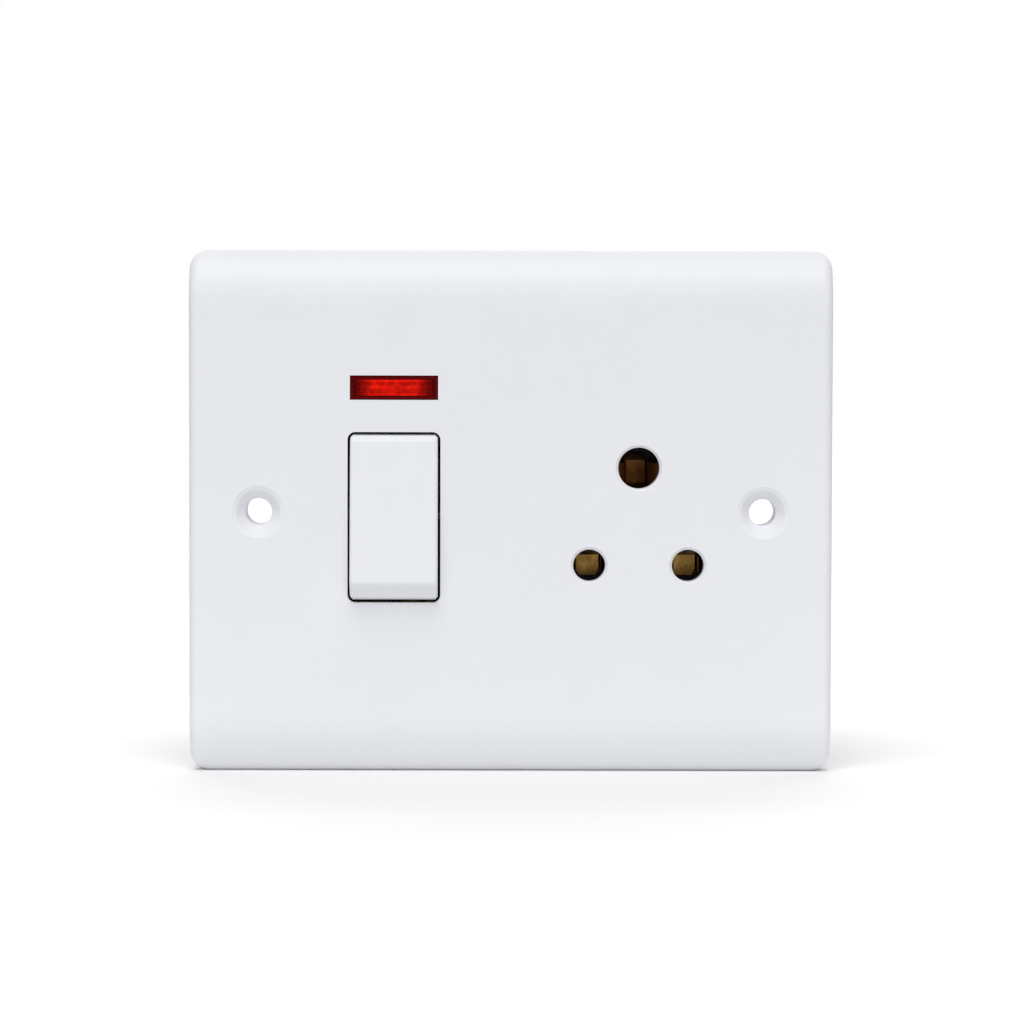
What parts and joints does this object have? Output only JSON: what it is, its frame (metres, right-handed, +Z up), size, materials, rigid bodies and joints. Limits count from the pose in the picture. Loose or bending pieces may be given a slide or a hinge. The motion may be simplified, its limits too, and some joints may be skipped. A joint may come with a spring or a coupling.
{
  "type": "switched socket",
  "caption": "White moulded wall plate with rolled top and bottom edges, a double-pole rocker switch, a red neon window and a socket for round pins.",
  "frame": {"origin": "on the wall plane, midway between the two fixing holes", "axes": "+Z up, +X to the right as one faces the plate, the face looks along -Y and +Y goes into the wall"},
  "size_m": [0.1242, 0.0299, 0.101],
  "materials": {
    "white_moulding": "smooth white moulding with a soft sheen",
    "dark_moulding": "dark moulded base",
    "plunger_plastic": "natural moulded plastic",
    "brass": "stamped brass strip",
    "silver": "silver contact",
    "plated_steel": "zinc plated",
    "spring_steel": "drawn wire",
    "tinned_wire": "tinned wire",
    "resistor_body": "coated resistor",
    "red_lens": "clear red moulding",
    "lamp_glass": "clear glass"
  },
  "bodies": {
    "plate_and_base": {"front_plate": "white_moulding", "rear_housing": "dark_moulding", "housing_screws": "plated_steel", "terminal_screws": "plated_steel", "live_fixed_tip": "silver", "neutral_fixed_tip": "silver", "live_supply_bracket": "brass", "neutral_supply_bracket": "brass", "live_bus": "brass", "neutral_bus": "brass", "live_clip": "brass", "neutral_clip": "brass", "earth_clip": "brass", "earth_strap": "brass", "live_terminal": "brass", "neutral_terminal": "brass", "earth_terminal": "brass", "neon_lens": "red_lens", "neon_lamp": "lamp_glass", "neon_leads": "tinned_wire", "neon_resistor": "resistor_body"},
    "rocker": {"rocker": "white_moulding", "live_plunger_spring": "spring_steel", "neutral_plunger_spring": "spring_steel"},
    "live_plunger": {"live_plunger": "plunger_plastic"},
    "neutral_plunger": {"neutral_plunger": "plunger_plastic"},
    "live_seesaw": {"live_seesaw": "brass", "live_moving_tip": "silver"},
    "neutral_seesaw": {"neutral_seesaw": "brass", "neutral_moving_tip": "silver"}
  },
  "joints": [
    {"name": "rocker_hinge", "type": "hinge", "parent": "plate_and_base", "child": "rocker", "pos_m": [-0.0225, -0.0062, -0.001], "axis": [1, 0, 0], "range_deg": [0, 13]},
    {"name": "live_plunger_slide", "type": "slide", "parent": "rocker", "child": "live_plunger", "axis": [0, -0.9936, 0.1132], "range_m": [0, 0.0008], "stiffness_N_per_m": 400, "springref_m": -0.002, "deforming": ["live_plunger_spring"]},
    {"name": "neutral_plunger_slide", "type": "slide", "parent": "rocker", "child": "neutral_plunger", "axis": [0, -0.9936, 0.1132], "range_m": [0, 0.0008], "stiffness_N_per_m": 400, "springref_m": -0.002, "deforming": ["neutral_plunger_spring"]},
    {"name": "live_seesaw_hinge", "type": "hinge", "parent": "plate_and_base", "child": "live_seesaw", "pos_m": [-0.027, 0.0062, -0.001], "axis": [1, 0, 0], "range_deg": [-20, 0]},
    {"name": "neutral_seesaw_hinge", "type": "hinge", "parent": "plate_and_base", "child": "neutral_seesaw", "pos_m": [-0.018, 0.0062, -0.001], "axis": [1, 0, 0], "range_deg": [-20, 0]}
  ],
  "couplings": [
    {"joint": "live_seesaw_hinge", "follows": "rocker_hinge", "ratio": -1.5384},
    {"joint": "neutral_seesaw_hinge", "follows": "rocker_hinge", "ratio": -1.5384}
  ]
}
